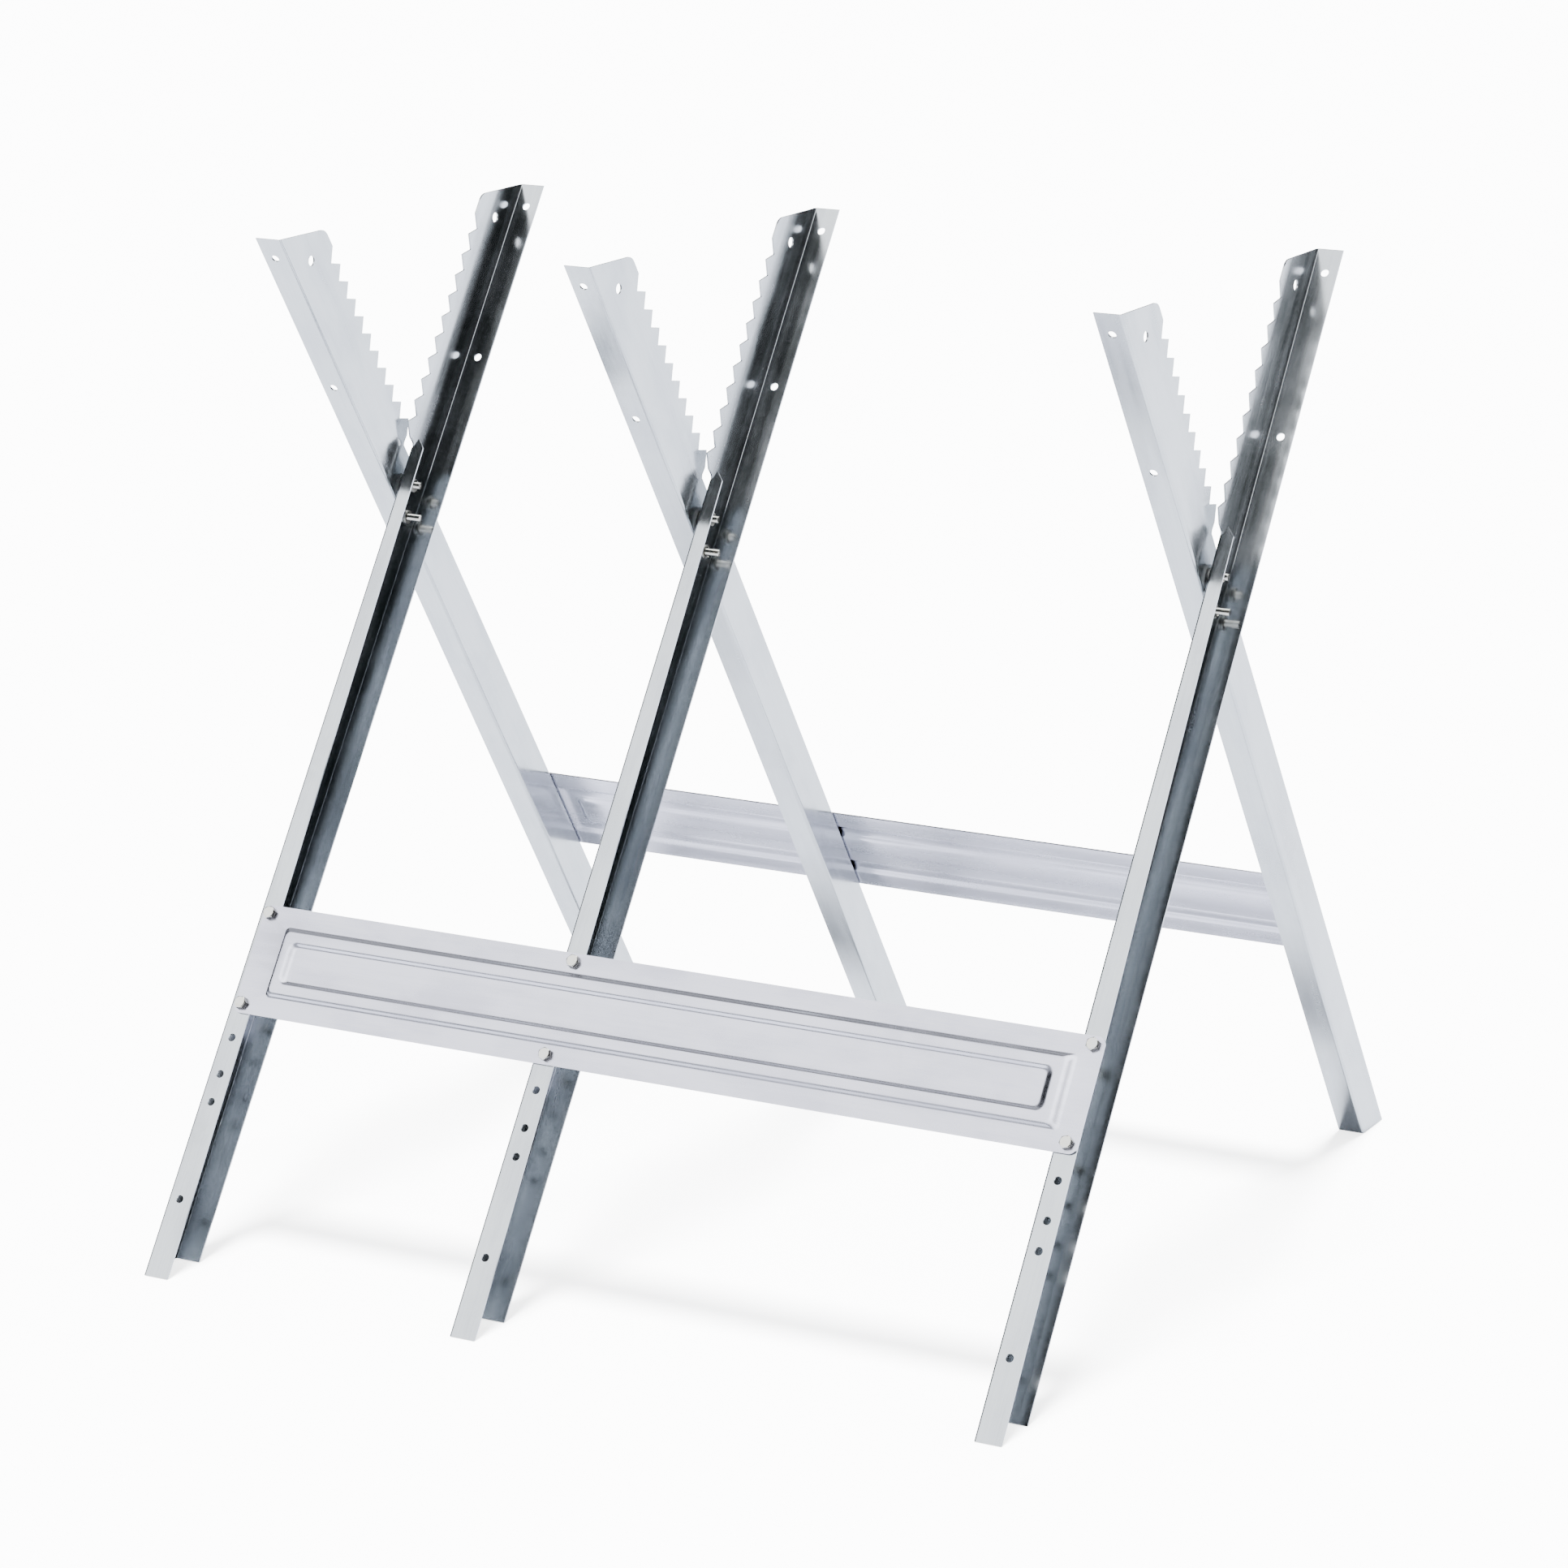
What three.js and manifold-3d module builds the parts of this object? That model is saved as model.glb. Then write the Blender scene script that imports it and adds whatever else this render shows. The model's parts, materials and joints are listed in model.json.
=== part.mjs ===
// A folding sawhorse: three X-frames of pressed channel legs, tied by a front and a rear brace.
// Millimetres, +Z up, the floor at z = 0. X runs along the log, and -Y is the front.
import * as THREE from "three";
import { mergeVertices } from "three/addons/utils/BufferGeometryUtils.js";
import Module from "manifold-3d";

const wasm = await Module();
wasm.setup();

// ---- Driving dimensions ----

// Stance
const LEG_ANGLE = 35; // lean of each leg from the vertical, degrees
const PIVOT_HEIGHT = 594; // pivot axis above the floor
const HORN_HEIGHT = 242; // top of the legs above the pivot axis
const FRAME_SPACING = 768; // left frame to right frame
const MIDDLE_OFFSET = 298; // left frame to middle frame

// Leg section, a channel pressed from sheet
const SHEET = 1.5;
const WEB_WIDTH = 40;
const FLANGE_WIDTH = 24;
const BEND_RADIUS = 2.5; // outside of the bend

// Inner flange, which narrows towards its pointed upper end
const TIP_WIDTH = 12.5; // flange width at the shoulder of the point
const SHOULDER = 28; // the shoulder, above the pivot
const TIP_RISE = 8.5; // the point, above the shoulder
const TIP_APEX = 5.5; // the point, out from the web

// Teeth
const TOOTH_PITCH = 20.5;
const TOOTH_DEPTH = 10.5;
const TOOTH_REACH = 18; // tooth tips beyond the side of the channel
const FIRST_TOOTH = 44.5; // lowest tip, above the pivot
const HORN_ROUND = 7; // rounding of the top corner

// Holes in the legs
const HORN_HOLE = 9; // diameter of the hole near the top of the web
const HORN_HOLE_DROP = 33.5; // below the top of the leg's centre line, along the leg
const HORN_HOLE_SIDE = 6; // off the leg's centre line, towards the teeth
const SPARE_HOLE = 7; // diameter of the spare holes in the flanges
const OUTER_HOLE_DROPS = [8.5, 159.5]; // outer flange, below the top of the centre line
const OUTER_HOLE_OUT = 13; // out from the web
const INNER_HOLE_RISES = [200, 167, 142, 55]; // inner flange, above the foot of the centre line
const BOLT_LINE = 11.5; // bolts and spare holes of the inner flange, out from the web

// Brace panels
const BRACE_SHEET = 1.5;
const BRACE_RISE = 271; // centre of the brace above the foot of the centre line, along the leg
const BRACE_HEIGHT = 98;
const BRACE_FROM_WEB = 5; // its end beside an outer leg's web
const BRACE_FROM_EDGE = 3; // its other end, inside the edge of the other outer leg's flange
const BRACE_CORNER = 7;
const BRACE_BOLT_SPACING = 82;
const RIB_HEIGHT = 4; // the raised ring
const RIB_WIDTH = 11.5;
const RIB_SLOPE = 2; // run of each sloping wall
const RIB_MARGIN_END = 28.5; // from the ends of the panel, on average
const RIB_OFFSET = 4; // the ring, along the panel and away from that web
const RIB_MARGIN_EDGE = 19.5; // from its long edges
const RIB_CORNER = 12;

// Fasteners, M6
const THREAD = 6;
const HEX = 10; // across flats
const HEAD_HEIGHT = 4;
const NUT_HEIGHT = 5;
const WASHER_DIAMETER = 12;
const WASHER_THICKNESS = 1.6;
const SINK_RADIUS = 5.5; // head of the countersunk bolt
const BRACE_BOLT_PAST_NUT = 2.5;
const PIVOT_BOLT_PAST_NUT = 0.8;
const LOWER_BOLT_PAST_NUT = 7;

// Stop plate, held to the front leg's web by the pivot bolt and the lower bolt
const PLATE_THICKNESS = 3;
const PLATE_RADIUS = 9; // of its round ends
const LOWER_BOLT_RADIUS = 28.5; // lower bolt from the pivot
const LOWER_BOLT_TURN = 12; // from straight down the front leg to its outer flange, degrees
const STUD_DIAMETER = 5;
const STUD_RADIUS = 13; // stud from the pivot, on the line to the lower bolt
const STUD_PAST_WEB = 1.2;

// Clearances
const GAP = 0.3; // between pieces that touch
const FIT = 0.3; // round a bolt, all the way round

// ---- Sizes that follow ----

const angle = THREE.MathUtils.degToRad(LEG_ANGLE);
const turn = THREE.MathUtils.degToRad(LOWER_BOLT_TURN);
const webGap = PLATE_THICKNESS + WASHER_THICKNESS + 3 * GAP;
const halfWeb = WEB_WIDTH / 2;
const inner = halfWeb - SHEET;
const frameX = [-FRAME_SPACING / 2, MIDDLE_OFFSET - FRAME_SPACING / 2, FRAME_SPACING / 2];
const frameNames = ["left", "middle", "right"];
const boltHole = THREAD / 2 + FIT;
const legFoot = -PIVOT_HEIGHT / Math.cos(angle); // foot of the leg's centre line, from the pivot
const legTop = HORN_HEIGHT / Math.cos(angle);
const footLength = WEB_WIDTH - legFoot;
const hornLength = WEB_WIDTH + legTop;
const braceAlong = legFoot + BRACE_RISE;
const shankGap = FIT + (THREAD / 2) * (1 / Math.cos(Math.PI / 12) - 1); // for a faceted bore
const braceSeat = halfWeb + GAP; // inner face of a brace, from the leg's centre line
const braceFace = braceSeat + BRACE_SHEET;
const braceLength = FRAME_SPACING + FLANGE_WIDTH - BRACE_FROM_WEB - BRACE_FROM_EDGE;
const braceStart = BRACE_FROM_WEB; // from the first web
const lowerBolt = polar(LOWER_BOLT_RADIUS, turn);
const stud = polar(STUD_RADIUS, turn);

// A point of a leg at a distance from the pivot, turned from straight down the leg towards its
// outer flange: {side, along} in the leg's own frame.
function polar(radius, turn) {
  return { side: radius * Math.sin(turn), along: -radius * Math.cos(turn) };
}

// ---- Solids ----

function solid(geometry) {
  const bare = geometry.index ? geometry.toNonIndexed() : geometry.clone();
  bare.deleteAttribute("normal");
  bare.deleteAttribute("uv");
  const merged = mergeVertices(bare, 1e-4);
  return new wasm.Manifold(
    new wasm.Mesh({
      numProp: 3,
      vertProperties: new Float32Array(merged.attributes.position.array),
      triVerts: new Uint32Array(merged.index.array),
    }),
  );
}

function geometryOf(body) {
  const mesh = body.getMesh();
  const geometry = new THREE.BufferGeometry();
  geometry.setAttribute("position", new THREE.BufferAttribute(mesh.vertProperties, 3));
  geometry.setIndex(new THREE.BufferAttribute(mesh.triVerts, 1));
  const faceted = geometry.toNonIndexed();
  faceted.computeVertexNormals();
  return faceted;
}

// A box from its low corner to its high corner.
function block(low, high) {
  const size = high.map((value, axis) => value - low[axis]);
  const centre = high.map((value, axis) => (value + low[axis]) / 2);
  return new THREE.BoxGeometry(...size).translate(...centre);
}

// A round bar along X.
function barX(radius, from, to, segments = 24) {
  const bar = new THREE.CylinderGeometry(radius, radius, to - from, segments);
  return bar.rotateZ(Math.PI / 2).translate((from + to) / 2, 0, 0);
}

// A round bar along Y.
function barY(radius, from, to, segments = 24) {
  const bar = new THREE.CylinderGeometry(radius, radius, to - from, segments);
  return bar.translate(0, (from + to) / 2, 0);
}

// A flat outline in Y and Z, thickened along X.
function plateX(outline, from, to, curveSegments = 6) {
  const options = { depth: to - from, bevelEnabled: false, curveSegments };
  const plate = new THREE.ExtrudeGeometry(outline, options);
  // The outline's x and y become Y and Z, and its depth becomes X.
  plate.applyMatrix4(new THREE.Matrix4().set(0, 0, 1, 0, 1, 0, 0, 0, 0, 1, 0, 0, 0, 0, 0, 1));
  return plate.translate(from, 0, 0);
}

// A flat outline in X and Z, thickened along Y.
function plateY(outline, from, to, curveSegments = 6) {
  const options = { depth: to - from, bevelEnabled: false, curveSegments };
  const plate = new THREE.ExtrudeGeometry(outline, options);
  return plate.rotateX(Math.PI / 2).translate(0, to, 0);
}

function polygon(points) {
  return new THREE.Shape(points.map(([x, y]) => new THREE.Vector2(x, y)));
}

// ---- Leg ----
// Own frame: the pivot at the origin, X out from the web's outer face along the flanges,
// Z up the leg, and Y from the toothed side towards the outer flange.

// The channel's section in X and Y, run along Z.
function channel() {
  const bend = BEND_RADIUS;
  const fold = BEND_RADIUS - SHEET;
  const quarter = Math.PI / 2;
  const section = new THREE.Shape();
  section.moveTo(FLANGE_WIDTH, -halfWeb);
  section.lineTo(FLANGE_WIDTH, -inner);
  section.lineTo(bend, -inner);
  section.absarc(bend, -halfWeb + bend, fold, -quarter, -2 * quarter, true);
  section.lineTo(SHEET, halfWeb - bend);
  section.absarc(bend, halfWeb - bend, fold, 2 * quarter, quarter, true);
  section.lineTo(FLANGE_WIDTH, inner);
  section.lineTo(FLANGE_WIDTH, halfWeb);
  section.lineTo(bend, halfWeb);
  section.absarc(bend, halfWeb - bend, bend, quarter, 2 * quarter, false);
  section.lineTo(0, -halfWeb + bend);
  section.absarc(bend, -halfWeb + bend, bend, 2 * quarter, 3 * quarter, false);
  const options = { depth: footLength + hornLength, bevelEnabled: false, curveSegments: 3 };
  return new THREE.ExtrudeGeometry(section, options).translate(0, 0, -footLength);
}

// The web above the channel's inner flange: its toothed edge, and the rounded top corner.
function toothPlate() {
  const tip = -halfWeb - TOOTH_REACH;
  const notch = tip + TOOTH_DEPTH;
  const root = -halfWeb + BEND_RADIUS;
  const top = (side) => (HORN_HEIGHT + side * Math.sin(angle)) / Math.cos(angle);
  const corner = top(tip);
  const teeth = Math.floor((corner - HORN_ROUND - FIRST_TOOTH) / TOOTH_PITCH);
  const points = [[root + SHEET, SHOULDER]];
  points.push([-halfWeb, SHOULDER + TIP_RISE / 2]);
  for (let tooth = 0; tooth <= teeth; tooth++) {
    const along = FIRST_TOOTH + tooth * TOOTH_PITCH;
    points.push([notch, along - TOOTH_PITCH / 2]);
    points.push([tip, along]);
  }
  const outline = polygon(points);
  const roundSide = tip + HORN_ROUND * Math.cos(angle);
  outline.lineTo(tip, corner - HORN_ROUND);
  outline.quadraticCurveTo(tip, corner, roundSide, top(roundSide));
  outline.lineTo(roundSide, corner + WEB_WIDTH);
  outline.lineTo(root + SHEET, corner + WEB_WIDTH);
  outline.closePath();
  return plateX(outline, 0, SHEET);
}

// The pointed upper end of the inner flange.
function flangeTip() {
  const low = SHOULDER - TIP_RISE;
  const outline = polygon([
    [BEND_RADIUS, low],
    [TIP_WIDTH, low],
    [TIP_WIDTH, SHOULDER],
    [TIP_APEX, SHOULDER + TIP_RISE],
    [BEND_RADIUS, SHOULDER],
  ]);
  return plateY(outline, -halfWeb, -inner);
}

// What is cut away beside the slanting edge of the inner flange.
function flangeTaper() {
  const past = 2 * FLANGE_WIDTH;
  const outline = polygon([
    [TIP_WIDTH, SHOULDER + 2 * TIP_RISE],
    [TIP_WIDTH, SHOULDER],
    [FLANGE_WIDTH, legFoot],
    [FLANGE_WIDTH, -2 * footLength],
    [past, -2 * footLength],
    [past, SHOULDER + 2 * TIP_RISE],
  ]);
  return plateY(outline, -WEB_WIDTH, -halfWeb / 2);
}

// A level slab in the leg's own frame, its heights taken from the pivot.
function levelSlab(low, high) {
  const reach = 4 * WEB_WIDTH + footLength;
  return block([-FLANGE_WIDTH, -reach, low], [2 * FLANGE_WIDTH, reach, high]).rotateX(angle);
}

// The arc-shaped slot in which the stud of the stop plate runs while the legs fold. Its upper
// end, as seen on the open sawhorse, is the stop.
function stopSlot() {
  const half = STUD_DIAMETER / 2 + FIT;
  const open = 2 * angle - turn;
  const folded = -turn;
  const arcSteps = 14;
  const capSteps = 6;
  const points = [];
  const push = ({ side, along }) => points.push([side, along]);
  // A round end about the stud's place, from one bearing on through half a turn.
  const cap = (at, bearing) => {
    const centre = polar(STUD_RADIUS, at);
    for (let i = 1; i < capSteps; i++) {
      const round = polar(half, bearing + (Math.PI * i) / capSteps);
      push({ side: centre.side + round.side, along: centre.along + round.along });
    }
  };
  for (let i = 0; i <= arcSteps; i++) {
    push(polar(STUD_RADIUS + half, folded + ((open - folded) * i) / arcSteps));
  }
  cap(open, open);
  for (let i = 0; i <= arcSteps; i++) {
    push(polar(STUD_RADIUS - half, open + ((folded - open) * i) / arcSteps));
  }
  cap(folded, folded + Math.PI);
  return plateX(polygon(points), -SHEET, 2 * SHEET);
}

function legGeometry(slotted) {
  const far = footLength + hornLength;
  let leg = solid(channel());
  leg = leg.subtract(solid(flangeTaper()));
  const aboveFlange = block(
    [-SHEET, -WEB_WIDTH, SHOULDER],
    [2 * FLANGE_WIDTH, -halfWeb + BEND_RADIUS, far],
  );
  leg = leg.subtract(solid(aboveFlange)).add(solid(toothPlate())).add(solid(flangeTip()));

  leg = leg.subtract(solid(levelSlab(HORN_HEIGHT, HORN_HEIGHT + far)));
  leg = leg.subtract(solid(levelSlab(-PIVOT_HEIGHT - far, -PIVOT_HEIGHT)));

  const webHole = (radius, side, along) =>
    solid(barX(radius, -SHEET, 2 * SHEET).translate(0, side, along));
  leg = leg.subtract(webHole(boltHole, 0, 0));
  leg = leg.subtract(webHole(HORN_HOLE / 2, -HORN_HOLE_SIDE, legTop - HORN_HOLE_DROP));
  if (slotted) leg = leg.subtract(solid(stopSlot()));
  else leg = leg.subtract(webHole(boltHole, lowerBolt.side, lowerBolt.along));

  for (const drop of OUTER_HOLE_DROPS) {
    const hole = barY(SPARE_HOLE / 2, inner - SHEET, halfWeb + SHEET, 20);
    leg = leg.subtract(solid(hole.translate(OUTER_HOLE_OUT, 0, legTop - drop)));
  }
  for (const rise of INNER_HOLE_RISES) {
    const hole = barY(SPARE_HOLE / 2, -halfWeb - SHEET, SHEET - inner, 20);
    leg = leg.subtract(solid(hole.translate(BOLT_LINE, 0, legFoot + rise)));
  }
  for (const along of braceBoltsAlong()) {
    const hole = barY(boltHole, -halfWeb - SHEET, SHEET - inner, 20);
    leg = leg.subtract(solid(hole.translate(BOLT_LINE, 0, along)));
  }
  return geometryOf(leg);
}

function braceBoltsAlong() {
  const half = BRACE_BOLT_SPACING / 2;
  return [braceAlong + half, braceAlong - half];
}

// ---- Brace ----
// Own frame: X along the panel from its centre, Z up the panel, and -Y outwards.

function roundedRectangle(width, height, radius) {
  const x = width / 2;
  const z = height / 2;
  const quarter = Math.PI / 2;
  const outline = new THREE.Shape();
  outline.moveTo(-x + radius, -z);
  outline.lineTo(x - radius, -z);
  outline.absarc(x - radius, -z + radius, radius, -quarter, 0, false);
  outline.lineTo(x, z - radius);
  outline.absarc(x - radius, z - radius, radius, 0, quarter, false);
  outline.lineTo(-x + radius, z);
  outline.absarc(-x + radius, z - radius, radius, quarter, 2 * quarter, false);
  outline.lineTo(-x, -z + radius);
  outline.absarc(-x + radius, -z + radius, radius, 2 * quarter, 3 * quarter, false);
  return outline;
}

// A raised pad with sloping walls: from its wide end at y = from to its narrow end at y = to.
function taperedPad(width, height, corner, from, to) {
  const wide = roundedRectangle(width, height, corner);
  const depth = Math.abs(to - from);
  const pad = new THREE.ExtrudeGeometry(wide, { depth, bevelEnabled: false, curveSegments: 4 });
  const position = pad.attributes.position;
  const spreadX = 1 - (2 * RIB_SLOPE) / width;
  const spreadZ = 1 - (2 * RIB_SLOPE) / height;
  for (let i = 0; i < position.count; i++) {
    if (position.getZ(i) < depth / 2) continue;
    position.setX(i, position.getX(i) * spreadX);
    position.setY(i, position.getY(i) * spreadZ);
  }
  // The outline's y becomes Z, and its depth runs from the wide end towards the narrow one.
  pad.rotateX(Math.PI / 2);
  if (to > from) pad.rotateX(Math.PI);
  return pad.translate(0, from, 0);
}

function braceGeometry(boltX) {
  const sheet = plateY(roundedRectangle(braceLength, BRACE_HEIGHT, BRACE_CORNER), -BRACE_SHEET, 0);
  const width = braceLength - 2 * RIB_MARGIN_END;
  const height = BRACE_HEIGHT - 2 * RIB_MARGIN_EDGE;
  const fieldWidth = width - 2 * RIB_WIDTH;
  const fieldHeight = height - 2 * RIB_WIDTH;
  const fieldCorner = RIB_CORNER - RIB_SLOPE - RIB_WIDTH / 2;
  const skin = BRACE_SHEET;
  const face = -RIB_HEIGHT - skin;
  // The ring outside, less the hollow behind it, with the field pressed back into it.
  const pad = (...sizes) => solid(taperedPad(...sizes).translate(RIB_OFFSET, 0, 0));
  let panel = solid(sheet);
  panel = panel.add(pad(width, height, RIB_CORNER, -skin / 2, face));
  let behind = pad(width - 2 * skin, height - 2 * skin, RIB_CORNER - skin, skin, face + skin);
  const wall = [fieldWidth + 2 * skin, fieldHeight + 2 * skin, fieldCorner + skin];
  behind = behind.subtract(pad(...wall, 2 * face, skin));
  panel = panel.subtract(behind);
  panel = panel.subtract(pad(fieldWidth, fieldHeight, fieldCorner, 2 * face, -skin));
  for (const x of boltX) {
    for (const side of [-1, 1]) {
      const hole = barY(boltHole, 2 * face, skin, 20);
      panel = panel.subtract(solid(hole.translate(x, 0, (side * BRACE_BOLT_SPACING) / 2)));
    }
  }
  return geometryOf(panel);
}

// ---- Fasteners ----
// Own frame: the axis along X, with the head's or nut's seat at x = 0 and the thread towards +X.

function hexPrism(from, to) {
  return barX(HEX / Math.sqrt(3), from, to, 6);
}

// A hex end is chamfered by meeting it with a cone.
function chamferedHex(height) {
  const corner = HEX / Math.sqrt(3);
  const profile = [
    [0, 0],
    [corner * 1.02, 0],
    [corner * 1.02, height - 0.7],
    [HEX / 2 - 0.2, height],
    [0, height],
  ].map(([r, x]) => new THREE.Vector2(r, x));
  const cone = new THREE.LatheGeometry(profile, 12).rotateZ(Math.PI / 2);
  return solid(hexPrism(-height, 0)).intersect(solid(cone));
}

function boltGeometry(length) {
  const shank = solid(barX(THREAD / 2, -HEAD_HEIGHT / 2, length, 12));
  return geometryOf(chamferedHex(HEAD_HEIGHT).add(shank));
}

function nutGeometry() {
  const bore = solid(barX(THREAD / 2 + shankGap, -2 * NUT_HEIGHT, NUT_HEIGHT, 12));
  const nut = chamferedHex(NUT_HEIGHT).subtract(bore);
  return geometryOf(nut.rotate([0, 0, 180]));
}

function washerGeometry() {
  const disc = solid(barX(WASHER_DIAMETER / 2, 0, WASHER_THICKNESS, 20));
  const bore = barX(THREAD / 2 + shankGap, -SHEET, WASHER_THICKNESS + SHEET, 12);
  return geometryOf(disc.subtract(solid(bore)));
}

// A countersunk head's cone, its face at x = 0. A clearance moves its sides and its face out.
function sinkCone(clearance) {
  const wide = SINK_RADIUS + 2 * clearance;
  const depth = wide - THREAD / 2;
  const cone = new THREE.CylinderGeometry(wide, THREAD / 2, depth, 24);
  return solid(cone.rotateZ(Math.PI / 2).translate(depth / 2 - clearance, 0, 0));
}

function sunkBoltGeometry(length) {
  const shank = solid(barX(THREAD / 2, SINK_RADIUS / 4, length, 16));
  return geometryOf(sinkCone(0).add(shank));
}

// The plate's rear face at x = 0, the pivot at the origin, and the stud towards -X.
function stopPlateGeometry(studLength) {
  const quarter = Math.PI / 2;
  const outline = new THREE.Shape();
  const upper = turn;
  outline.absarc(0, 0, PLATE_RADIUS, upper, upper + 2 * quarter, false);
  const { side, along } = lowerBolt;
  outline.absarc(side, along, PLATE_RADIUS, upper + 2 * quarter, upper + 4 * quarter, false);
  let plate = solid(plateX(outline, 0, PLATE_THICKNESS));
  plate = plate.subtract(solid(barX(boltHole, -SHEET, PLATE_THICKNESS + SHEET)));
  const lowerHole = solid(barX(boltHole, -SHEET, PLATE_THICKNESS + SHEET));
  const sunk = lowerHole.add(sinkCone(FIT * Math.SQRT2));
  plate = plate.subtract(sunk.translate([0, side, along]));
  const bar = barX(STUD_DIAMETER / 2, -studLength, PLATE_THICKNESS / 2, 20);
  return geometryOf(plate.add(solid(bar.translate(0, stud.side, stud.along))));
}

// ---- Materials ----

const colours = {
  leg: { color: 0xc3c9cf, roughness: 0.34, metalness: 0.9 },
  brace: { color: 0xd4d8e0, roughness: 0.42, metalness: 0.85 },
  fastener: { color: 0xd9dadb, roughness: 0.22, metalness: 1 },
};

function piece(name, geometry, kind) {
  const mesh = new THREE.Mesh(geometry, new THREE.MeshStandardMaterial(colours[kind]));
  mesh.name = name;
  return mesh;
}

// ---- Frames ----

// A frame stands in its own coordinates, its outer flanges to the back and its webs at
// x + webGap / 2. The rear frame is the same set turned half round.
function legFrame(side, slotted) {
  const group = new THREE.Group();
  const turned = side === "rear" ? -1 : 1;
  const legX = (i) => turned * frameX[i] + webGap / 2;
  const firstWeb = Math.min(legX(0), legX(2));
  const braceCentre = firstWeb + braceStart + braceLength / 2;

  const tilted = new THREE.Group();
  tilted.rotation.x = -angle;
  tilted.position.z = PIVOT_HEIGHT;
  group.add(tilted);

  frameNames.forEach((frame, i) => {
    const leg = piece(`${side}_leg_${frame}`, legGeometry(slotted), "leg");
    leg.position.x = legX(i);
    tilted.add(leg);
  });

  const boltX = frameNames.map((_, i) => legX(i) + BOLT_LINE - braceCentre);
  const brace = piece(`${side}_brace`, braceGeometry(boltX), "brace");
  brace.position.set(braceCentre, -braceSeat, braceAlong);
  tilted.add(brace);

  const boltLength = BRACE_SHEET + SHEET + NUT_HEIGHT + 3 * GAP + BRACE_BOLT_PAST_NUT;
  frameNames.forEach((frame, i) => {
    braceBoltsAlong().forEach((along, row) => {
      const tag = `${side}_${frame}_${row === 0 ? "upper" : "lower"}`;
      const bolt = piece(`brace_bolt_${tag}`, boltGeometry(boltLength), "fastener");
      bolt.rotation.z = Math.PI / 2; // its thread towards +Y
      bolt.position.set(legX(i) + BOLT_LINE, -braceFace - GAP, along);
      tilted.add(bolt);
      const nut = piece(`brace_nut_${tag}`, nutGeometry(), "fastener");
      nut.rotation.z = Math.PI / 2;
      nut.position.set(legX(i) + BOLT_LINE, -inner + GAP, along);
      tilted.add(nut);
    });
  });
  return group;
}

// The fasteners and the stop plate of one crossing, in the front leg's frame. From the rear
// leg to the front leg: spacer washer, stop plate, front web, washer, nut.
function crossing(frame, x) {
  const group = new THREE.Group();
  group.position.set(x, 0, PIVOT_HEIGHT);
  group.rotation.x = -angle;
  const place = (name, geometry, at, { side, along } = { side: 0, along: 0 }) => {
    const mesh = piece(`${name}_${frame}`, geometry, "fastener");
    mesh.position.set(at, side, along);
    group.add(mesh);
  };
  const rearFace = -webGap / 2;
  const headSeat = rearFace - SHEET - GAP;
  const spacerAt = rearFace + GAP;
  const plateAt = spacerAt + WASHER_THICKNESS + GAP;
  const washerAt = webGap / 2 + SHEET + GAP;
  const nutAt = washerAt + WASHER_THICKNESS + GAP;
  const nutEnd = nutAt + NUT_HEIGHT;

  place("pivot_bolt", boltGeometry(nutEnd + PIVOT_BOLT_PAST_NUT - headSeat), headSeat);
  place("pivot_spacer", washerGeometry(), spacerAt);
  place("stop_plate", stopPlateGeometry(plateAt - rearFace + SHEET + STUD_PAST_WEB), plateAt);
  place("pivot_washer", washerGeometry(), washerAt);
  place("pivot_nut", nutGeometry(), nutAt);
  const sunkLength = nutEnd + LOWER_BOLT_PAST_NUT - plateAt;
  place("lower_bolt", sunkBoltGeometry(sunkLength), plateAt, lowerBolt);
  place("lower_washer", washerGeometry(), washerAt, lowerBolt);
  place("lower_nut", nutGeometry(), nutAt, lowerBolt);
  return group;
}

const sawhorse = new THREE.Group();
sawhorse.name = "folding_sawhorse";

const front = legFrame("front", false);
sawhorse.add(front);

const rear = legFrame("rear", true);
rear.rotation.z = Math.PI;
sawhorse.add(rear);

frameNames.forEach((frame, i) => sawhorse.add(crossing(frame, frameX[i])));

export default sawhorse;
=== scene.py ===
"""A folding sawhorse of galvanised channel legs, finished for show on its CAD frame."""

import json
import math
from collections import namedtuple

import bpy
from mathutils import Matrix, Vector

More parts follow.
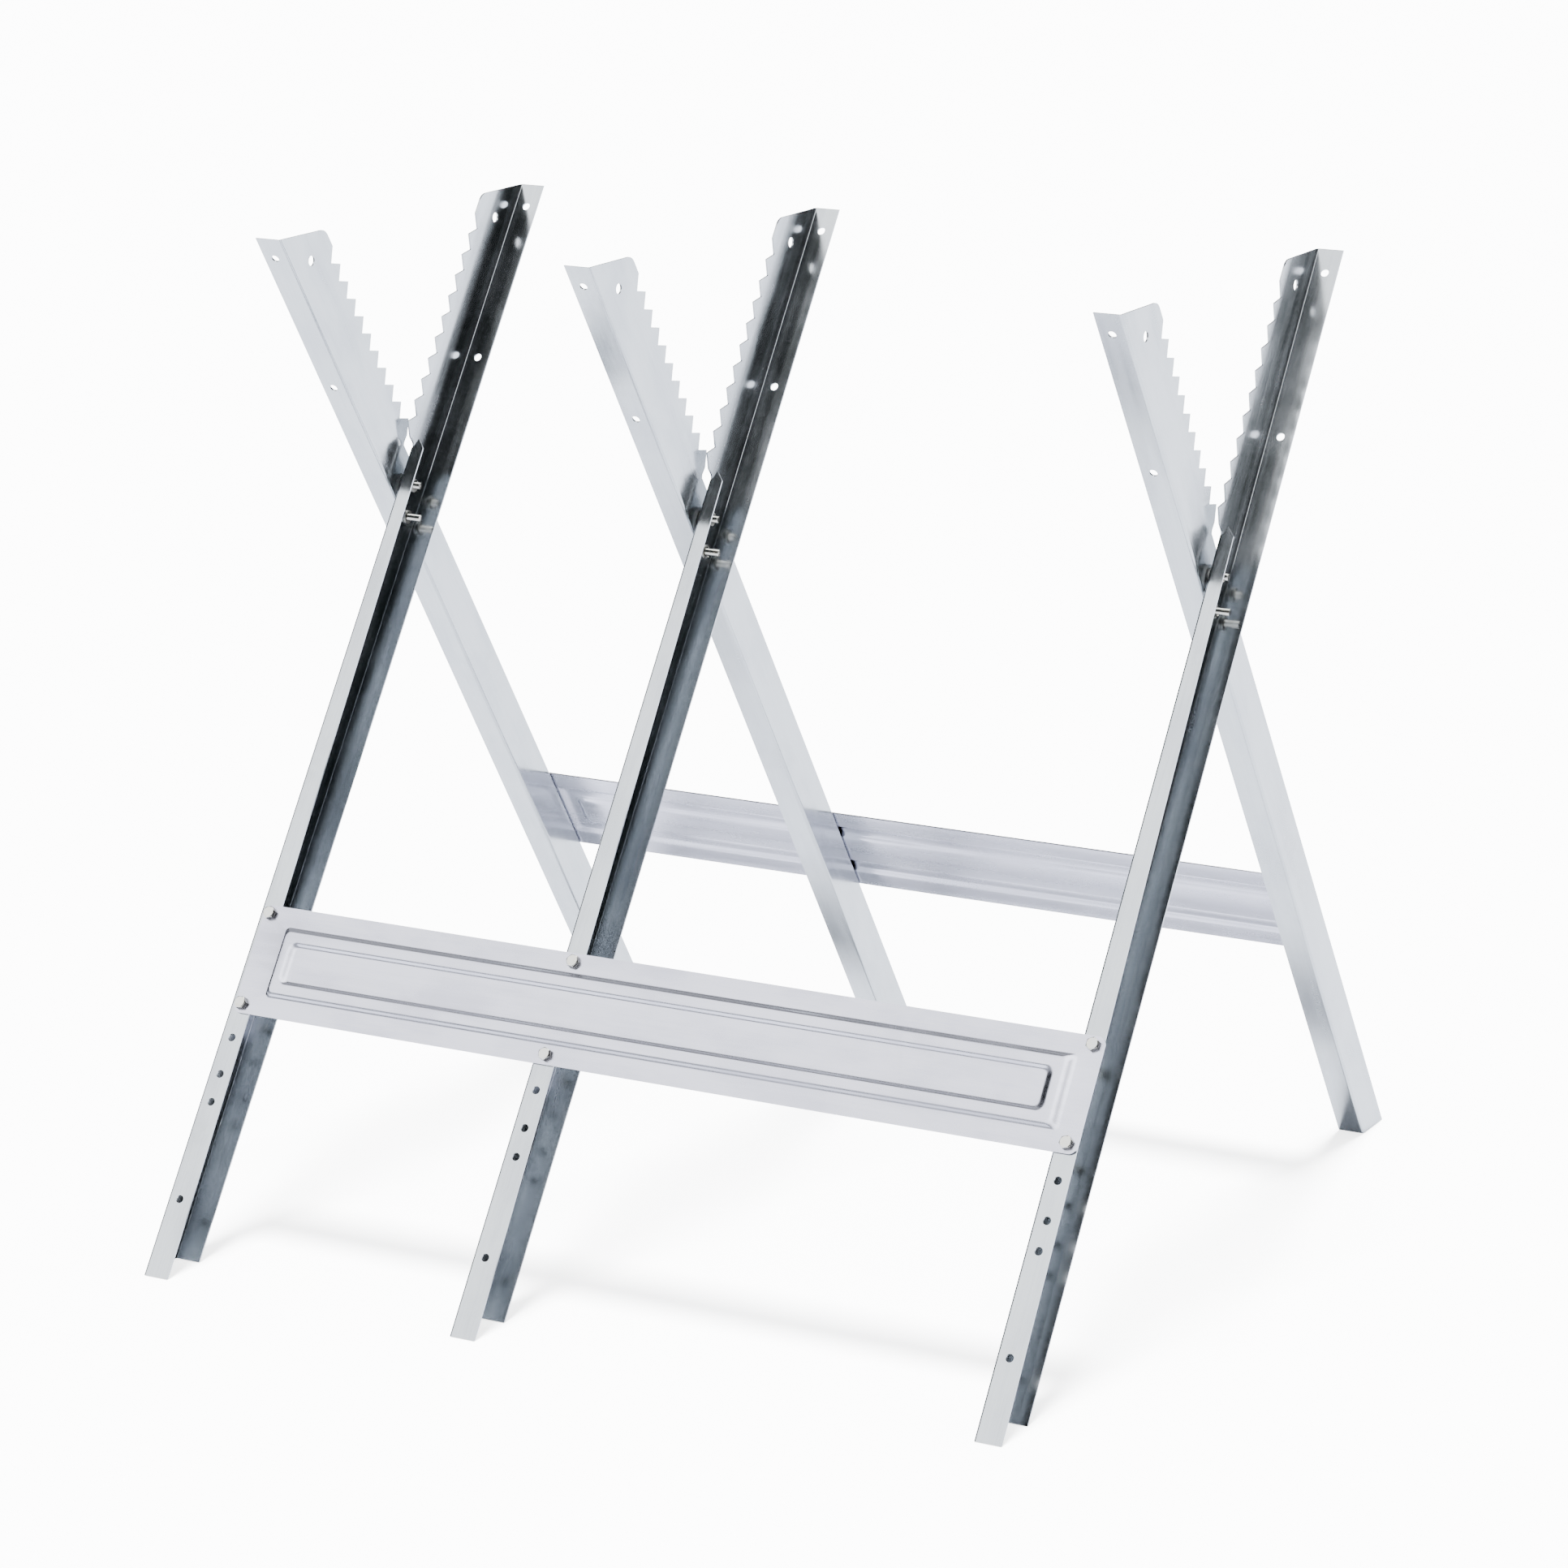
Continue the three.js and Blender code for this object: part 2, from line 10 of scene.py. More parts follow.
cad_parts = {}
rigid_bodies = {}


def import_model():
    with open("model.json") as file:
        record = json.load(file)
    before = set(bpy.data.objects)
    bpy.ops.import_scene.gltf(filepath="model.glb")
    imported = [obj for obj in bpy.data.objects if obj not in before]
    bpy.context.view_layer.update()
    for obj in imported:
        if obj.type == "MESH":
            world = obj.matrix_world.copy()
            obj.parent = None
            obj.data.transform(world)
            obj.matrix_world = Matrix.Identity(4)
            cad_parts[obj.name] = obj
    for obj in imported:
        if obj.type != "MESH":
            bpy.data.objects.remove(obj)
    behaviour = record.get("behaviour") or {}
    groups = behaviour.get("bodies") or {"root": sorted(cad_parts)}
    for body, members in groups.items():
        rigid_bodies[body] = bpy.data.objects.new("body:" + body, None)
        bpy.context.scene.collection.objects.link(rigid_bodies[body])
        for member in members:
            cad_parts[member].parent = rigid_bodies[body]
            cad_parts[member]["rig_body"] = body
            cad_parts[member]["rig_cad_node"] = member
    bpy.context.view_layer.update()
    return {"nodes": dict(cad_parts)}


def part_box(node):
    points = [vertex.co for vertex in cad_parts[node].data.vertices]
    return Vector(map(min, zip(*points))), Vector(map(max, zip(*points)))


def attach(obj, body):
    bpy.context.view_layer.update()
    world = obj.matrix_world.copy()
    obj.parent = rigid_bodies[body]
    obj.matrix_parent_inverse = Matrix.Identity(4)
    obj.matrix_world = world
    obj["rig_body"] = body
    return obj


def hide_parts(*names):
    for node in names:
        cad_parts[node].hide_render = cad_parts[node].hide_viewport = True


bl_info = {
    "name": "Folding Sawhorse",
    "version": (1, 0, 0),
    "blender": (4, 5, 0),
    "location": "View3D > Sidebar > Sawhorse",
    "description": "Legs, embossed braces and zinc fasteners of a folding sawhorse",
    "category": "Object",
}

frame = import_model()

MM = 0.001
SIDES = ("front", "rear")
FRAMES = ("left", "middle", "right")
ROWS = ("upper", "lower")


def centre_of(node):
    low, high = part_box(node)
    return (Vector(low) + Vector(high)) / 2


def measured_lean():
    """The legs' lean from the vertical, from the brace bolts of one leg."""
    high = centre_of("brace_bolt_front_left_upper")
    low = centre_of("brace_bolt_front_left_lower")
    return math.atan2(high.y - low.y, high.z - low.z)


LEAN = measured_lean()

# Edge roundings.
WASHER_EDGE = 0.25 * MM
PLATE_EDGE = 0.3 * MM
HEX_EDGE = 0.18 * MM

# Bolts: heights of heads, and plain lengths under them.
HEX_HEAD = 4 * MM
BRACE_SHANK = 2.5 * MM
PIVOT_SHANK = 10.5 * MM
SUNK_HEAD = 2.5 * MM
SUNK_RADIUS = 5.5 * MM
SUNK_SHANK = 3.0 * MM
ROD_IN_HEX_HEAD = 0.4 * MM
ROD_UNDER_SUNK_FACE = 1.5 * MM
THREAD_CLEARANCE = 0.02 * MM
BORE_CLEARANCE = 0.06 * MM
ROD_SIDES = 28
ROD_TIP = 0.84

# Hex ends are turned off at the top: radii as shares of the size across flats.
TURNED_RADIUS = 0.6
TURNED_RIM = 0.58
FLAT_RADIUS = 0.455
TURNED_DROP = 0.7 * MM * 1.25
TURNED_SIDES = 48

# How far one fastener is turned from the next, in radians.
BRACE_BOLT_TURN = 0.83
BRACE_NUT_TURN = 1.7
PIVOT_START = 0.4
PIVOT_BOLT_TURN = 1.3
PIVOT_NUT_TURN = 0.7

# Outlines of the pressed ring, from outside in: how far each lies inside the ring's margins at
# the left end, the right end and the long edges, and its corner radius.
RING_FOOT = (-3 * MM, -10.5 * MM, -5.3 * MM, 3.5 * MM)
RING_CREST = (0, 0, 0, 5 * MM)
RING_BRINK = (4.7 * MM, 4.7 * MM, 7.5 * MM, 7.5 * MM)
RING_FIELD = (13.6 * MM, 13.6 * MM, 12 * MM, 4 * MM)
SLOPE_STEPS = 8
PRESS_INSET = 0.2 * MM
CORNER_SEGMENTS = 7

# Platings: the finish colour, the roughness and the shade, a darkening of the colour: the
# plating's own tone on the washers and stop plates, painted shade on the hex sides.
PLATINGS = {
    "bright plated bolt": ("bolt", 0.14, 1.0),
    # The hex sides are darkened to 0.36 of the bolt colour: painted shade, on top of their real
    # higher roughness.
    "dull plated hex side": ("bolt", 0.26, 0.36),
    "plated washer": ("bolt", 0.3, 0.92),
    "plated stop plate": ("leg", 0.34, 0.9),
}

# What the metal mirrors: a soft box on the left, brightest near its middle and dim at its top and
# foot, an unlit side in front and behind, and a dark screen far left.
UNLIT = (0.012, 0.016, 0.018, 1)
BOX_LIGHT = (3.8, 3.88, 3.98, 1)
BOX_MIDDLE = (5.6, 5.7, 5.8, 1)
BOX_TOP = (0.45, 0.48, 0.52, 1)
BOX_FOOT = (0.5, 0.53, 0.58, 1)
UNLIT_FRONT = (0.56, -0.60, 0.57)
UNLIT_BACK = (-0.56, 0.60, 0.57)
UNLIT_REACH = (0.45, 0.72)
SCREEN = (-0.93, -0.03, 0.36)
SCREEN_REACH = (0.85, 0.93)
BACKDROP = (12.0, 12.0, 12.0, 1)

# The floor's colour as the metal mirrors it, painted darker as shade, far in front and near, and
# its glow to the camera.
FLOOR_FAR = (0.09, 0.095, 0.1, 1)
FLOOR_NEAR = (0.37, 0.385, 0.42, 1)
FLOOR_GLOW = 3.0
FLOOR_SIZE = 60
FLOOR_DROP = 0.5 * MM

LAMP_POWER = 26.0
LAMP_ANGLE = 0.28
LAMP_HEIGHT = 4

# The camera: degrees round, up and rolled, its lens in millimetres and its place in metres.
CAMERA_TURNS = (27.599, 14.780, 0.300)
CAMERA_LENS = 116.31
CAMERA_SENSOR = 36.0
CAMERA_PLACE = (1.9374, -3.7251, 1.4783)


# ---- Sizes and colours ----


class SAWHORSE_PG_sizes(bpy.types.PropertyGroup):
    """Sizes of the pieces made here, in metres."""

    edge_radius: bpy.props.FloatProperty(
        name="Sheet edge radius",
        description="Rounding of the sheared edges of the legs",
        default=0.35 * MM,
        min=0.0,
        unit="LENGTH",
        subtype="DISTANCE",
    )
    sheet: bpy.props.FloatProperty(
        name="Brace sheet",
        description="Thickness of the brace panels",
        default=1.5 * MM,
        unit="LENGTH",
        subtype="DISTANCE",
    )
    panel_height: bpy.props.FloatProperty(
        name="Brace height",
        description="Height of a brace panel along the legs",
        default=98 * MM,
        unit="LENGTH",
        subtype="DISTANCE",
    )
    panel_corner: bpy.props.FloatProperty(
        name="Brace corner",
        description="Radius of a brace panel's corners",
        default=7 * MM,
        unit="LENGTH",
        subtype="DISTANCE",
    )
    ring_height: bpy.props.FloatProperty(
        name="Ring height",
        description="How far the pressed ring stands out of the panel",
        default=2.4 * MM,
        unit="LENGTH",
        subtype="DISTANCE",
    )
    ring_end: bpy.props.FloatProperty(
        name="Ring end margin",
        description="From a panel's ends to the top of its pressed ring",
        default=29.5 * MM,
        unit="LENGTH",
        subtype="DISTANCE",
    )
    ring_edge: bpy.props.FloatProperty(
        name="Ring edge margin",
        description="From a panel's long edges to the top of its pressed ring",
        default=22.0 * MM,
        unit="LENGTH",
        subtype="DISTANCE",
    )
    thread: bpy.props.FloatProperty(
        name="Thread",
        description="Diameter of the bolts",
        default=6 * MM,
        unit="LENGTH",
        subtype="DISTANCE",
    )
    pitch: bpy.props.FloatProperty(
        name="Thread pitch",
        description="From one thread crest to the next",
        default=1 * MM,
        unit="LENGTH",
        subtype="DISTANCE",
    )
    across_flats: bpy.props.FloatProperty(
        name="Across flats",
        description="Size of the bolt heads and nuts across their flats",
        default=10 * MM,
        unit="LENGTH",
        subtype="DISTANCE",
    )


class SAWHORSE_PG_finish(bpy.types.PropertyGroup):
    """Colours of the zinc, and how polished it is."""

    leg: bpy.props.FloatVectorProperty(
        name="Leg zinc",
        description="Colour of the galvanised channels",
        default=(0.45, 0.472, 0.487),
        size=3,
        min=0,
        max=1,
        subtype="COLOR",
    )
    brace: bpy.props.FloatVectorProperty(
        name="Brace zinc",
        description="Colour of the galvanised brace panels",
        default=(0.52, 0.52, 0.59),
        size=3,
        min=0,
        max=1,
        subtype="COLOR",
    )
    bolt: bpy.props.FloatVectorProperty(
        name="Bolt zinc",
        description="Colour of the plated bolts and nuts",
        default=(0.53, 0.525, 0.50),
        size=3,
        min=0,
        max=1,
        subtype="COLOR",
    )
    roughness: bpy.props.FloatProperty(
        name="Sheet roughness",
        description="Roughness of clean galvanised sheet",
        default=0.17,
        min=0.0,
        max=1.0,
        subtype="FACTOR",
    )
    floor: bpy.props.FloatVectorProperty(
        name="Floor",
        description="Colour of the studio floor",
        default=(0.93, 0.93, 0.93),
        size=3,
        min=0,
        max=1,
        subtype="COLOR",
    )


def sizes():
    return bpy.context.scene.sawhorse_sizes


def finish_of():
    return bpy.context.scene.sawhorse_finish


# ---- Shader groups ----


def group_socket(group, name, kind, way, default=None):
    socket = group.interface.new_socket(name, in_out=way, socket_type=kind)
    if default is not None:
        socket.default_value = default


def new_group(name):
    group = bpy.data.node_groups.new(name, "ShaderNodeTree")
    source = group.nodes.new("NodeGroupInput")
    result = group.nodes.new("NodeGroupOutput")
    return group, source, result


def feed(tree, socket, value):
    """Links a socket to another node's output, or gives it a plain value."""
    if isinstance(value, bpy.types.NodeSocket):
        tree.links.new(value, socket)
    else:
        socket.default_value = value


def math_node(tree, operation, first, second):
    node = tree.nodes.new("ShaderNodeMath")
    node.operation = operation
    feed(tree, node.inputs[0], first)
    feed(tree, node.inputs[1], second)
    return node.outputs[0]


def weighted_sum(tree, *terms):
    """The sum of some values, each times its weight."""
    total = None
    for value, weight in terms:
        term = math_node(tree, "MULTIPLY", value, weight)
        total = math_node(tree, "ADD", total, term) if total else term
    return total


def ranged(tree, value, low, high, to_low=0.0, to_high=1.0):
    """Maps a value from one range to another, levelling out at both ends."""
    node = tree.nodes.new("ShaderNodeMapRange")
    node.interpolation_type = "SMOOTHSTEP"
    tree.links.new(value, node.inputs["Value"])
    node.inputs["From Min"].default_value = low
    node.inputs["From Max"].default_value = high
    node.inputs["To Min"].default_value = to_low
    node.inputs["To Max"].default_value = to_high
    return node.outputs["Result"]


def noise(tree, vector, scale, detail, roughness):
    """Noise with a scale in features per metre."""
    node = tree.nodes.new("ShaderNodeTexNoise")
    node.inputs["Scale"].default_value = scale
    node.inputs["Detail"].default_value = detail
    node.inputs["Roughness"].default_value = roughness
    tree.links.new(vector, node.inputs["Vector"])
    return node.outputs["Fac"]


def stretched(tree, vector, scale):
    node = tree.nodes.new("ShaderNodeVectorMath")
    node.operation = "MULTIPLY"
    tree.links.new(vector, node.inputs[0])
    node.inputs[1].default_value = scale
    return node.outputs[0]


def mixed(tree, factor, first, second):
    node = tree.nodes.new("ShaderNodeMix")
    node.data_type = "RGBA"
    for socket, value in zip((node.inputs[0], *node.inputs[6:8]), (factor, first, second)):
        feed(tree, socket, value)
    return node.outputs[2]


def rolled_zinc_group():
    """Streaks left by the rolls, along the vector's Z, and the soft cloud of the zinc bath."""
    name = "Rolled Zinc"
    if name in bpy.data.node_groups:
        return bpy.data.node_groups[name]
    group, source, result = new_group(name)
    group_socket(group, "Vector", "NodeSocketVector", "INPUT")
    group_socket(group, "Zinc", "NodeSocketColor", "INPUT", (0.7, 0.72, 0.75, 1))
    group_socket(group, "Dull Zinc", "NodeSocketColor", "INPUT", (0.6, 0.64, 0.68, 1))
    group_socket(group, "Roughness", "NodeSocketFloat", "INPUT", 0.3)
    group_socket(group, "Streaks", "NodeSocketFloat", "INPUT", 1.0)
    group_socket(group, "Color", "NodeSocketColor", "OUTPUT")
    group_socket(group, "Roughness", "NodeSocketFloat", "OUTPUT")
    group_socket(group, "Height", "NodeSocketFloat", "OUTPUT")
    vector = source.outputs["Vector"]

    lengthened = stretched(group, vector, (1, 1, 0.45))
    cloud = noise(group, lengthened, scale=28, detail=3, roughness=0.55)
    lengthened = stretched(group, vector, (1, 1, 0.03))
    streak = noise(group, lengthened, scale=520, detail=2, roughness=0.6)
    lengthened = stretched(group, vector, (1, 1, 0.02))
    wide_streak = noise(group, lengthened, scale=90, detail=2, roughness=0.5)
    speckle = noise(group, vector, scale=900, detail=2, roughness=0.6)

    dull = ranged(group, cloud, 0.38, 0.68)
    line = ranged(group, streak, 0.4, 0.7)
    line = math_node(group, "MULTIPLY", line, source.outputs["Streaks"])
    dull = weighted_sum(group, (dull, 0.65), (line, 0.35))
    tint = mixed(group, dull, source.outputs["Zinc"], source.outputs["Dull Zinc"])
    group.links.new(tint, result.inputs["Color"])

    spread = ranged(group, wide_streak, 0.3, 0.7, -0.04, 0.04)
    spread = math_node(group, "ADD", spread, ranged(group, cloud, 0.35, 0.7, -0.02, 0.06))
    spread = math_node(group, "ADD", spread, ranged(group, speckle, 0.4, 0.75, 0.0, 0.03))
    rough = math_node(group, "ADD", source.outputs["Roughness"], spread)
    group.links.new(rough, result.inputs["Roughness"])

    height = weighted_sum(group, (streak, 0.35), (wide_streak, 0.9), (cloud, 0.6))
    group.links.new(height, result.inputs["Height"])
    return group


def handling_group():
    """Smudges, and the odd short scuff, as masks from 0 to 1."""
    name = "Handling Marks"
    if name in bpy.data.node_groups:
        return bpy.data.node_groups[name]
    group, source, result = new_group(name)
    group_socket(group, "Vector", "NodeSocketVector", "INPUT")
    group_socket(group, "Amount", "NodeSocketFloat", "INPUT", 0.5)
    group_socket(group, "Smudge", "NodeSocketFloat", "OUTPUT")
    group_socket(group, "Scuff", "NodeSocketFloat", "OUTPUT")
    vector = source.outputs["Vector"]
    amount = source.outputs["Amount"]

    broad = noise(group, vector, scale=11, detail=3, roughness=0.6)
    fine = noise(group, vector, scale=60, detail=3, roughness=0.65)
    broad, fine = ranged(group, broad, 0.5, 0.72), ranged(group, fine, 0.35, 0.65)
    smudge = math_node(group, "MULTIPLY", broad, fine)
    smudge = math_node(group, "MULTIPLY", smudge, amount)
    group.links.new(smudge, result.inputs["Smudge"])

    shortened = stretched(group, vector, (1.0, 9.0, 0.5))
    across = noise(group, shortened, scale=75, detail=1, roughness=0.4)
    where = noise(group, vector, scale=16, detail=1, roughness=0.5)
    across, where = ranged(group, across, 0.70, 0.76), ranged(group, where, 0.56, 0.66)
    scuff = math_node(group, "MULTIPLY", across, where)
    scuff = math_node(group, "MULTIPLY", scuff, amount)
    group.links.new(scuff, result.inputs["Scuff"])
    return group


# ---- Materials ----


def fresh_material(name):
    material = bpy.data.materials.new(name)
    material.use_nodes = True
    tree = material.node_tree
    return material, tree, tree.nodes["Principled BSDF"]


def turned_vector(tree, turn=(0, 0, 0)):
    """The piece's own coordinates, turned."""
    coordinates = tree.nodes.new("ShaderNodeTexCoord")
    mapping = tree.nodes.new("ShaderNodeMapping")
    mapping.vector_type = "POINT"
    mapping.inputs["Rotation"].default_value = turn
    tree.links.new(coordinates.outputs["Object"], mapping.inputs["Vector"])
    return mapping.outputs["Vector"]


def bumped(tree, shader, height, distance, strength):
    bump = tree.nodes.new("ShaderNodeBump")
    bump.inputs["Distance"].default_value = distance
    bump.inputs["Strength"].default_value = strength
    tree.links.new(height, bump.inputs["Height"])
    tree.links.new(bump.outputs["Normal"], shader.inputs["Normal"])


def dulled(colour, factor, blue=0.0):
    """A darker colour, a little bluer where blue is given."""
    red, green, high = (channel * factor for channel in colour)
    return (red, green, min(1.0, high + blue), 1)


def sheet_zinc(name, colour, turn, roughness, streaks=1.0):
    """Galvanised sheet whose rolled grain runs along the turned Z axis."""
    material, tree, shader = fresh_material(name)
    vector = turned_vector(tree, turn)
    zinc = tree.nodes.new("ShaderNodeGroup")
    zinc.node_tree = rolled_zinc_group()
    zinc.inputs["Zinc"].default_value = (*colour, 1)
    zinc.inputs["Dull Zinc"].default_value = dulled(colour, 0.88, 0.012)
    zinc.inputs["Roughness"].default_value = roughness
    zinc.inputs["Streaks"].default_value = streaks
    tree.links.new(vector, zinc.inputs["Vector"])
    marks = tree.nodes.new("ShaderNodeGroup")
    marks.node_tree = handling_group()
    marks.inputs["Amount"].default_value = 0.3
    tree.links.new(vector, marks.inputs["Vector"])
    smudged = dulled(colour, 0.80)
    worn = mixed(tree, marks.outputs["Smudge"], zinc.outputs["Color"], smudged)
    worn = mixed(tree, marks.outputs["Scuff"], worn, dulled(colour, 1.1))
    tree.links.new(worn, shader.inputs["Base Color"])
    rough = math_node(tree, "MULTIPLY", marks.outputs["Smudge"], 0.14)
    rough = math_node(tree, "ADD", rough, zinc.outputs["Roughness"])
    tree.links.new(rough, shader.inputs["Roughness"])
    shader.inputs["Metallic"].default_value = 1.0
    bumped(tree, shader, zinc.outputs["Height"], distance=0.06 * MM, strength=0.25)
    return material


def plated_zinc(name):
    """Bright zinc plating, a little yellow and clouded, as PLATINGS has it."""
    if name in bpy.data.materials:
        return bpy.data.materials[name]
    finish, roughness, shade = PLATINGS[name]
    colour = tuple(getattr(finish_of(), finish))
    material, tree, shader = fresh_material(name)
    vector = turned_vector(tree)
    cloud = noise(tree, vector, scale=260, detail=3, roughness=0.6)
    fine = noise(tree, vector, scale=1900, detail=2, roughness=0.6)
    # The shade darkens both tints: painted shade on the hex sides, the plating's own tone on
    # washers and stop plates.
    warm = (colour[0] * shade, colour[1] * 0.98 * shade, colour[2] * 0.93 * shade, 1)
    tint = mixed(tree, ranged(tree, cloud, 0.35, 0.7), dulled(colour, shade), warm)
    tree.links.new(tint, shader.inputs["Base Color"])
    rough = ranged(tree, cloud, 0.3, 0.75, roughness - 0.05, roughness + 0.12)
    rough = math_node(tree, "ADD", rough, ranged(tree, fine, 0.4, 0.7, 0.0, 0.05))
    tree.links.new(rough, shader.inputs["Roughness"])
    shader.inputs["Metallic"].default_value = 1.0
    bumped(tree, shader, fine, distance=0.02 * MM, strength=0.4)
    return material


def leg_zinc(side):
    name = f"galvanised {side} leg"
    if name in bpy.data.materials:
        return bpy.data.materials[name]
    turn = (LEAN if side == "front" else -LEAN, 0, 0)
    return sheet_zinc(name, tuple(finish_of().leg), turn, finish_of().roughness)


def brace_zinc(side):
    """A brace's zinc: its grain runs along X, and it is a little rougher than a leg's."""
    colour, turn = tuple(finish_of().brace), (0, math.pi / 2, 0)
    roughness = finish_of().roughness + 0.06
    return sheet_zinc(f"galvanised {side} brace", colour, turn, roughness, streaks=0.7)


def dress(obj, material):
    obj.data.materials.clear()
    obj.data.materials.append(material)
    for polygon in obj.data.polygons:
        polygon.material_index = 0


def dress_hex(model):
    """Bright plating, and on the flats of the hex, which lie further out than the rod, a rougher
    plating darkened with painted shade.
    """
    dress(model, plated_zinc("bright plated bolt"))
    model.data.materials.append(plated_zinc("dull plated hex side"))
    beyond_rod = 0.7 * sizes().thread
    for polygon in model.data.polygons:
        # The flats of the hex take the darker plating: painted shade.
        if abs(polygon.normal.z) < 0.5 and polygon.center.xy.length > beyond_rod:
            polygon.material_index = 1


# ---- Modelling helpers ----


def deselect_all():
    if bpy.context.object and bpy.context.object.mode != "OBJECT":
        bpy.ops.object.mode_set(mode="OBJECT")
    bpy.ops.object.select_all(action="DESELECT")


def make_active(obj):
    deselect_all()
    obj.select_set(True)
    bpy.context.view_layer.objects.active = obj


def named_primitive(name):
    obj = bpy.context.object
    obj.name = name
    obj.data.name = name
    return obj


def bake_place(obj):
    """Puts the object's place, turn and scale into its mesh."""
    make_active(obj)
    bpy.ops.object.transform_apply(location=True, rotation=True, scale=True)


def apply_modifier(obj, kind, **settings):
    make_active(obj)
    modifier = obj.modifiers.new(kind.title(), kind)
    for key, value in settings.items():
        setattr(modifier, key, value)
    bpy.ops.object.modifier_apply(modifier=modifier.name)


def select_faces(obj, wanted):
    """In edit mode, selects just the faces that wanted is true of."""
    bpy.ops.object.mode_set(mode="OBJECT")
    for vertex in obj.data.vertices:
        vertex.select = False
    for edge in obj.data.edges:
        edge.select = False
    for polygon in obj.data.polygons:
        polygon.select = bool(wanted(polygon))
    bpy.ops.object.mode_set(mode="EDIT")
    bpy.ops.mesh.select_mode(type="FACE")


def select_vertices(obj, wanted):
    """In edit mode, selects just the vertices whose place wanted is true of."""
    bpy.ops.object.mode_set(mode="EDIT")
    bpy.ops.mesh.select_mode(type="VERT")
    bpy.ops.mesh.select_all(action="DESELECT")
    bpy.ops.object.mode_set(mode="OBJECT")
    for vertex in obj.data.vertices:
        vertex.select = bool(wanted(vertex.co))
    bpy.ops.object.mode_set(mode="EDIT")


def smooth(obj, degrees):
    """Shades smooth, apart from edges sharper than an angle."""
    make_active(obj)
    bpy.ops.object.shade_smooth_by_angle(angle=math.radians(degrees))


def copy_piece(model, name, place):
    """A copy of a model with its own mesh, put in place by a matrix that goes into the mesh."""
    copy = model.copy()
    copy.data = model.data.copy()
    copy.name = name
    copy.data.name = name
    bpy.context.scene.collection.objects.link(copy)
    copy.data.transform(place)
    copy.data.update()
    return copy


def discard(obj):
    mesh = obj.data
    bpy.data.objects.remove(obj)
    bpy.data.meshes.remove(mesh)


# ---- Pieces from CAD shapes ----


def softened_copy(node, edge, material):
    """The CAD shape as a clean mesh, its sheared edges rounded so that they catch the light."""
    source = frame["nodes"][node]
    piece = source.copy()
    piece.data = source.data.copy()
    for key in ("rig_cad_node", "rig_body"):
        if key in piece:
            del piece[key]
    piece.parent = None
    piece.name = "made_" + node
    piece.data.name = piece.name
    bpy.context.scene.collection.objects.link(piece)
    make_active(piece)
    bpy.ops.object.mode_set(mode="EDIT")
    bpy.ops.mesh.select_mode(type="VERT")
    bpy.ops.mesh.select_all(action="SELECT")
    bpy.ops.mesh.remove_doubles(threshold=0.002 * MM)
    bpy.ops.mesh.customdata_custom_splitnormals_clear()
    bpy.ops.mesh.dissolve_limited(angle_limit=math.radians(0.6))
    bpy.ops.object.mode_set(mode="OBJECT")
    apply_modifier(
        piece,
        "BEVEL",
        width=edge,
        segments=2,
        limit_method="ANGLE",
        angle_limit=math.radians(50),
        use_clamp_overlap=True,
    )
    smooth(piece, 40)
    apply_modifier(piece, "WEIGHTED_NORMAL", keep_sharp=True, weight=100)
    dress(piece, material)
    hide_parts(node)
    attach(piece, source["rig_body"])


class SAWHORSE_OT_legs(bpy.types.Operator):
    """Make the six channel legs"""

    bl_idname = "sawhorse.legs"
    bl_label = "Legs"

    def execute(self, context):
        for side in SIDES:
            material = leg_zinc(side)
            for place in FRAMES:
                softened_copy(f"{side}_leg_{place}", sizes().edge_radius, material)
        return {"FINISHED"}


class SAWHORSE_OT_washers(bpy.types.Operator):
    """Make the washers and the stop plates of the crossings"""

    bl_idname = "sawhorse.washers"
    bl_label = "Washers and stop plates"

    def execute(self, context):
        washer, plate = plated_zinc("plated washer"), plated_zinc("plated stop plate")
        for place in FRAMES:
            for role in ("pivot_washer", "lower_washer", "pivot_spacer"):
                softened_copy(f"{role}_{place}", WASHER_EDGE, washer)
            softened_copy(f"stop_plate_{place}", PLATE_EDGE, plate)
        return {"FINISHED"}


# ---- Brace ----


def rounded_outline(name, length, height, corner):
    """A flat panel outline in X and Z: one face with rounded corners."""
    deselect_all()
    bpy.ops.mesh.primitive_plane_add(size=1, rotation=(math.pi / 2, 0, 0))
    obj = named_primitive(name)
    obj.scale = (length, height, 1)
    bake_place(obj)
    bpy.ops.object.mode_set(mode="EDIT")
    bpy.ops.mesh.select_mode(type="VERT")
    bpy.ops.mesh.select_all(action="SELECT")
    bpy.ops.mesh.bevel(offset=corner, segments=CORNER_SEGMENTS, affect="VERTICES", profile=0.5)
    bpy.ops.object.mode_set(mode="OBJECT")
    return obj


Outline = namedtuple("Outline", "length height corner middle")


def outline(length, left, right, edge, corner):
    """A rounded outline set in from the panel's edges. Its middle is a place along X."""
    height = sizes().panel_height - 2 * edge
    return Outline(length - left - right, height, corner, (left - right) / 2)


def ring_outline(length, left, right, edge, corner):
    """An outline set in further, from the ring's margins."""
    s = sizes()
    return outline(length, s.ring_end + left, s.ring_end + right, s.ring_edge + edge, corner)


def middle_face(panel):
    """The face inside all outlines so far: it alone has more than four corners."""
    return max(panel.data.polygons, key=lambda face: len(face.vertices))


def move_outline(panel, before, after, level):
    """Moves the middle face from one rounded outline to another, corner by corner."""
    for index in middle_face(panel).vertices:
        place = panel.data.vertices[index].co
        x = place.x - before.middle
        # How far round its corner the point is.
        across = (abs(x) - before.length / 2 + before.corner) / before.corner
        up = (abs(place.z) - before.height / 2 + before.corner) / before.corner
        reach = after.length / 2 - after.corner + across * after.corner
        rise = after.height / 2 - after.corner + up * after.corner
        place.xyz = after.middle + math.copysign(reach, x), -level, math.copysign(rise, place.z)
    panel.data.update()


